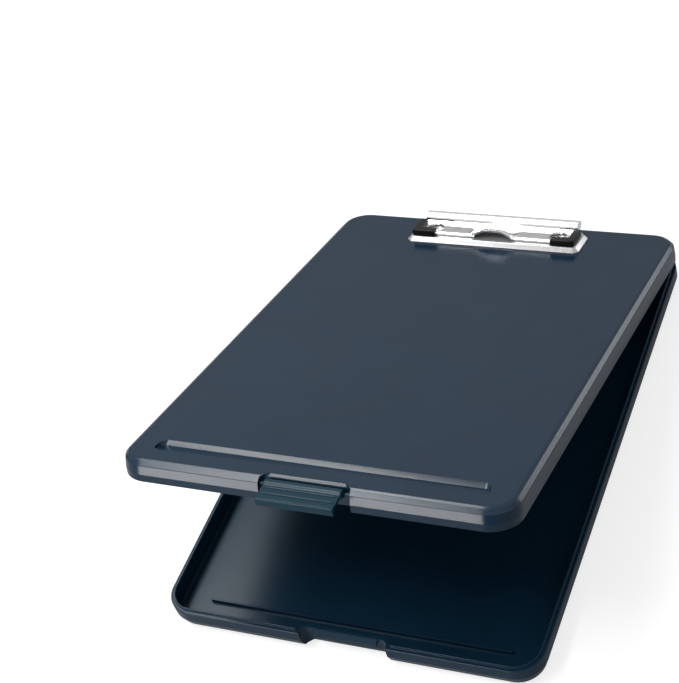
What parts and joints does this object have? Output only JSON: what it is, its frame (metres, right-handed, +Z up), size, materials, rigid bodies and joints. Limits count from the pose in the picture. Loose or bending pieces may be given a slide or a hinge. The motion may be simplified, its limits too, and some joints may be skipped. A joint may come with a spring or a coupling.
{
  "type": "storage clipboard box",
  "caption": "Shallow lidded tray with a writing surface, a sprung paper clip, a pen groove and a hooked front latch; holds paper and pens.",
  "frame": {"origin": "centre of the tray's underside, at the middle of its plan outline", "axes": "+Y from the latch to the hinge, +Z up from the underside, +X to the right when the latch faces the viewer"},
  "size_m": [0.24, 0.3426, 0.1334],
  "materials": {
    "body": "fine satin moulded plastic",
    "body_dark": "satin moulded plastic",
    "latch_plastic": "satin moulded plastic",
    "chrome": "polished plate",
    "steel": "drawn wire",
    "spring_steel": "drawn spring wire",
    "rivet_metal": "bright plated",
    "rubber": "smooth black rubber"
  },
  "bodies": {
    "tray": {"tray_shell": "body_dark"},
    "lid": {"lid_shell": "body", "hinge_rod": "steel", "latch_pin": "latch_plastic", "clip_base": "chrome", "clip_rod": "steel", "clip_spring_left": "spring_steel", "clip_spring_right": "spring_steel", "clip_rivet_left": "rivet_metal", "clip_rivet_right": "rivet_metal", "rivet_washer_left": "steel", "rivet_washer_right": "steel"},
    "latch": {"latch_flap": "latch_plastic"},
    "clip": {"clip_lever": "chrome", "corner_grip_left": "rubber", "corner_grip_right": "rubber"}
  },
  "joints": [
    {"name": "lid_hinge", "type": "hinge", "parent": "tray", "child": "lid", "pos_m": [0, 0.17, 0.0145], "axis": [-1, 0, 0], "range_deg": [-18, 97]},
    {"name": "latch_swing", "type": "hinge", "parent": "lid", "child": "latch", "pos_m": [0, -0.14725, 0.12736], "axis": [-1, 0, 0], "range_deg": [-82, 8]},
    {"name": "clip_lift", "type": "hinge", "parent": "lid", "child": "clip", "pos_m": [0, 0.163, 0.03728], "axis": [-1, 0, 0], "range_deg": [0, 35], "stiffness_Nm_per_rad": 0.25, "springref_deg": -34.38}
  ]
}
